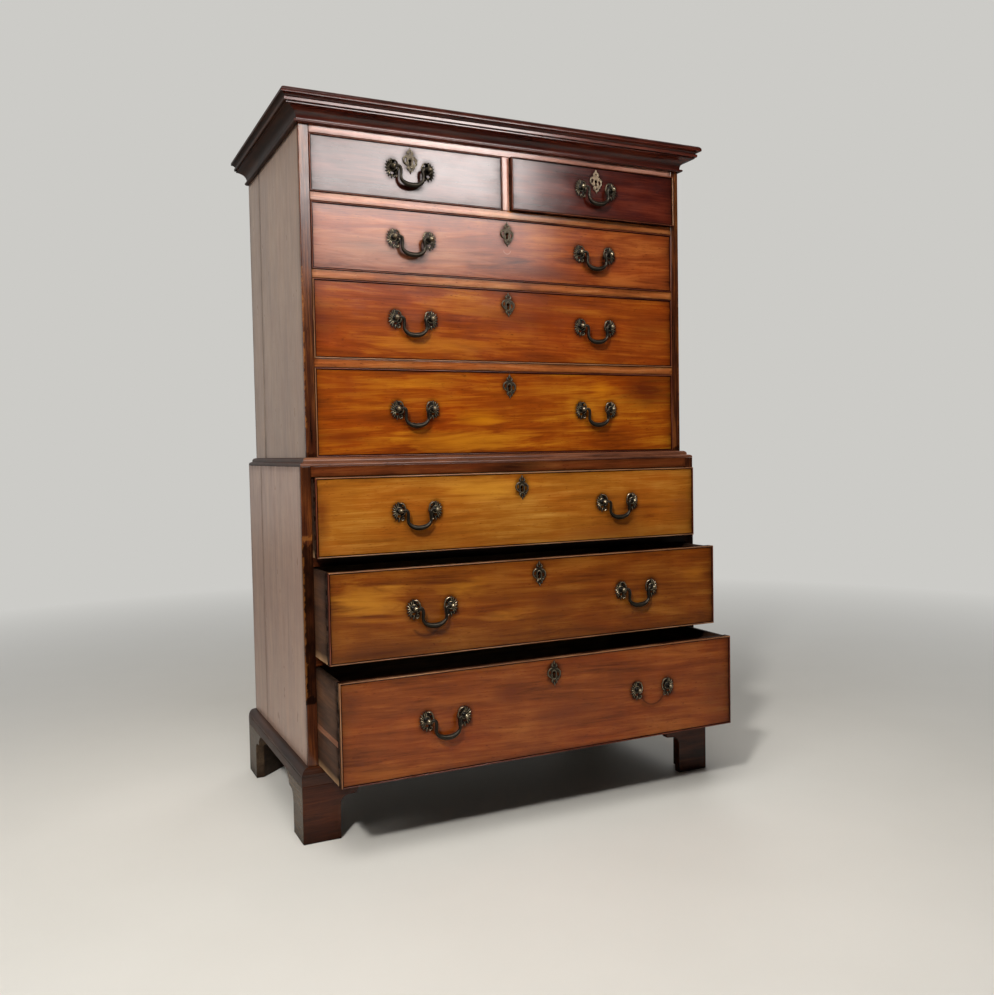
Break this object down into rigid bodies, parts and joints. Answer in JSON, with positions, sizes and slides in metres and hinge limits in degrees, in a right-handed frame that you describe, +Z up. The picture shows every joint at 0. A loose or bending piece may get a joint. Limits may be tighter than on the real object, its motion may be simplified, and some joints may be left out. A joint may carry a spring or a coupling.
{
  "type": "chest on chest",
  "caption": "Tall mahogany chest of drawers stacked on a wider one, with a moulded cornice, sliding drawers, hanging swan-neck handles and bracket feet.",
  "frame": {"origin": "on the floor under the middle of the overall box, with the drawers standing out as pictured", "axes": "+Z up, the drawer fronts face -Y, +X to the right of someone who faces them"},
  "size_m": [1.1506, 0.7944, 1.719],
  "materials": {
    "mahogany_front_red": "dark red mahogany, french polished and glossy",
    "mahogany_front": "warm orange-brown mahogany, old polish with a soft gloss",
    "mahogany_case": "brown mahogany boards, worn polish, satin",
    "mahogany_dark": "dark red-brown mahogany mouldings, polished",
    "oak": "bare oak linings, dry and dusty",
    "pine": "bare pine boards, aged",
    "brass": "cast brass with a dark olive-brown patina, rubbed bright on the high spots"
  },
  "bodies": {
    "case": {"upper_side_left": "mahogany_case", "upper_side_right": "mahogany_case", "upper_bottom_board": "mahogany_case", "upper_top_rail": "mahogany_case", "upper_top_board": "pine", "upper_back": "pine", "short_drawer_divider": "mahogany_case", "upper_rail_1": "mahogany_case", "upper_rail_2": "mahogany_case", "upper_rail_3": "mahogany_case", "waist_moulding_front": "mahogany_dark", "waist_moulding_left": "mahogany_dark", "waist_moulding_right": "mahogany_dark", "cornice_front": "mahogany_dark", "cornice_left": "mahogany_dark", "cornice_right": "mahogany_dark", "lower_side_left": "mahogany_case", "lower_side_right": "mahogany_case", "lower_bottom_board": "mahogany_case", "lower_top_rail": "mahogany_case", "lower_top_board": "pine", "lower_back": "pine", "lower_rail_1": "mahogany_case", "lower_rail_2": "mahogany_case", "base_moulding_front": "mahogany_dark", "base_moulding_left": "mahogany_dark", "base_moulding_right": "mahogany_dark", "foot_front_left": "mahogany_dark", "foot_front_right": "mahogany_dark", "foot_back_left": "mahogany_dark", "foot_back_right": "mahogany_dark"},
    "short_drawer_left": {"short_drawer_left_front": "mahogany_front_red", "short_drawer_left_box": "oak"},
    "short_drawer_left_bail": {"short_drawer_left_bail": "brass"},
    "short_drawer_right": {"short_drawer_right_front": "mahogany_front_red", "short_drawer_right_box": "oak"},
    "short_drawer_right_bail": {"short_drawer_right_bail": "brass"},
    "upper_drawer_1": {"upper_drawer_1_front": "mahogany_front", "upper_drawer_1_box": "oak"},
    "upper_drawer_1_bail_left": {"upper_drawer_1_bail_left": "brass"},
    "upper_drawer_1_bail_right": {"upper_drawer_1_bail_right": "brass"},
    "upper_drawer_2": {"upper_drawer_2_front": "mahogany_front", "upper_drawer_2_box": "oak"},
    "upper_drawer_2_bail_left": {"upper_drawer_2_bail_left": "brass"},
    "upper_drawer_2_bail_right": {"upper_drawer_2_bail_right": "brass"},
    "upper_drawer_3": {"upper_drawer_3_front": "mahogany_front", "upper_drawer_3_box": "oak"},
    "upper_drawer_3_bail_left": {"upper_drawer_3_bail_left": "brass"},
    "upper_drawer_3_bail_right": {"upper_drawer_3_bail_right": "brass"},
    "lower_drawer_1": {"lower_drawer_1_front": "mahogany_front", "lower_drawer_1_box": "oak"},
    "lower_drawer_1_bail_left": {"lower_drawer_1_bail_left": "brass"},
    "lower_drawer_1_bail_right": {"lower_drawer_1_bail_right": "brass"},
    "lower_drawer_2": {"lower_drawer_2_front": "mahogany_front", "lower_drawer_2_box": "oak"},
    "lower_drawer_2_bail_left": {"lower_drawer_2_bail_left": "brass"},
    "lower_drawer_2_bail_right": {"lower_drawer_2_bail_right": "brass"},
    "lower_drawer_3": {"lower_drawer_3_front": "mahogany_front", "lower_drawer_3_box": "oak"},
    "lower_drawer_3_bail_left": {"lower_drawer_3_bail_left": "brass"}
  },
  "joints": [
    {"name": "short_drawer_left_slide", "type": "slide", "parent": "case", "child": "short_drawer_left", "axis": [0, -1, 0], "range_m": [0, 0.4]},
    {"name": "short_drawer_left_bail_pivot", "type": "hinge", "parent": "short_drawer_left", "child": "short_drawer_left_bail", "pos_m": [-0.25675, -0.17875, 1.5786], "axis": [-1, 0, 0], "range_deg": [-12, 188]},
    {"name": "short_drawer_right_slide", "type": "slide", "parent": "case", "child": "short_drawer_right", "axis": [0, -1, 0], "range_m": [-0.013, 0.387]},
    {"name": "short_drawer_right_bail_pivot", "type": "hinge", "parent": "short_drawer_right", "child": "short_drawer_right_bail", "pos_m": [0.25675, -0.19175, 1.5786], "axis": [-1, 0, 0], "range_deg": [-12, 188]},
    {"name": "upper_drawer_1_slide", "type": "slide", "parent": "case", "child": "upper_drawer_1", "axis": [0, -1, 0], "range_m": [0, 0.4]},
    {"name": "upper_drawer_1_bail_left_pivot", "type": "hinge", "parent": "upper_drawer_1", "child": "upper_drawer_1_bail_left", "pos_m": [-0.25675, -0.17875, 1.4131], "axis": [-1, 0, 0], "range_deg": [-12, 188]},
    {"name": "upper_drawer_1_bail_right_pivot", "type": "hinge", "parent": "upper_drawer_1", "child": "upper_drawer_1_bail_right", "pos_m": [0.25675, -0.17875, 1.4131], "axis": [-1, 0, 0], "range_deg": [-12, 188]},
    {"name": "upper_drawer_2_slide", "type": "slide", "parent": "case", "child": "upper_drawer_2", "axis": [0, -1, 0], "range_m": [0, 0.4]},
    {"name": "upper_drawer_2_bail_left_pivot", "type": "hinge", "parent": "upper_drawer_2", "child": "upper_drawer_2_bail_left", "pos_m": [-0.25675, -0.17875, 1.2216], "axis": [-1, 0, 0], "range_deg": [-12, 188]},
    {"name": "upper_drawer_2_bail_right_pivot", "type": "hinge", "parent": "upper_drawer_2", "child": "upper_drawer_2_bail_right", "pos_m": [0.25675, -0.17875, 1.2216], "axis": [-1, 0, 0], "range_deg": [-12, 188]},
    {"name": "upper_drawer_3_slide", "type": "slide", "parent": "case", "child": "upper_drawer_3", "axis": [0, -1, 0], "range_m": [0, 0.4]},
    {"name": "upper_drawer_3_bail_left_pivot", "type": "hinge", "parent": "upper_drawer_3", "child": "upper_drawer_3_bail_left", "pos_m": [-0.25675, -0.17875, 1.0036], "axis": [-1, 0, 0], "range_deg": [-12, 188]},
    {"name": "upper_drawer_3_bail_right_pivot", "type": "hinge", "parent": "upper_drawer_3", "child": "upper_drawer_3_bail_right", "pos_m": [0.25675, -0.17875, 1.0036], "axis": [-1, 0, 0], "range_deg": [-12, 188]},
    {"name": "lower_drawer_1_slide", "type": "slide", "parent": "case", "child": "lower_drawer_1", "axis": [0, -1, 0], "range_m": [-0.034, 0.386]},
    {"name": "lower_drawer_1_bail_left_pivot", "type": "hinge", "parent": "lower_drawer_1", "child": "lower_drawer_1_bail_left", "pos_m": [-0.28, -0.23975, 0.7606], "axis": [-1, 0, 0], "range_deg": [-12, 188]},
    {"name": "lower_drawer_1_bail_right_pivot", "type": "hinge", "parent": "lower_drawer_1", "child": "lower_drawer_1_bail_right", "pos_m": [0.28, -0.23975, 0.7606], "axis": [-1, 0, 0], "range_deg": [-12, 188]},
    {"name": "lower_drawer_2_slide", "type": "slide", "parent": "case", "child": "lower_drawer_2", "axis": [0, -1, 0], "range_m": [-0.118, 0.302]},
    {"name": "lower_drawer_2_bail_left_pivot", "type": "hinge", "parent": "lower_drawer_2", "child": "lower_drawer_2_bail_left", "pos_m": [-0.28, -0.32375, 0.5411], "axis": [-1, 0, 0], "range_deg": [-12, 188]},
    {"name": "lower_drawer_2_bail_right_pivot", "type": "hinge", "parent": "lower_drawer_2", "child": "lower_drawer_2_bail_right", "pos_m": [0.28, -0.32375, 0.5411], "axis": [-1, 0, 0], "range_deg": [-12, 188]},
    {"name": "lower_drawer_3_slide", "type": "slide", "parent": "case", "child": "lower_drawer_3", "axis": [0, -1, 0], "range_m": [-0.185, 0.235]},
    {"name": "lower_drawer_3_bail_left_pivot", "type": "hinge", "parent": "lower_drawer_3", "child": "lower_drawer_3_bail_left", "pos_m": [-0.28, -0.39075, 0.2986], "axis": [-1, 0, 0], "range_deg": [-12, 188]}
  ]
}
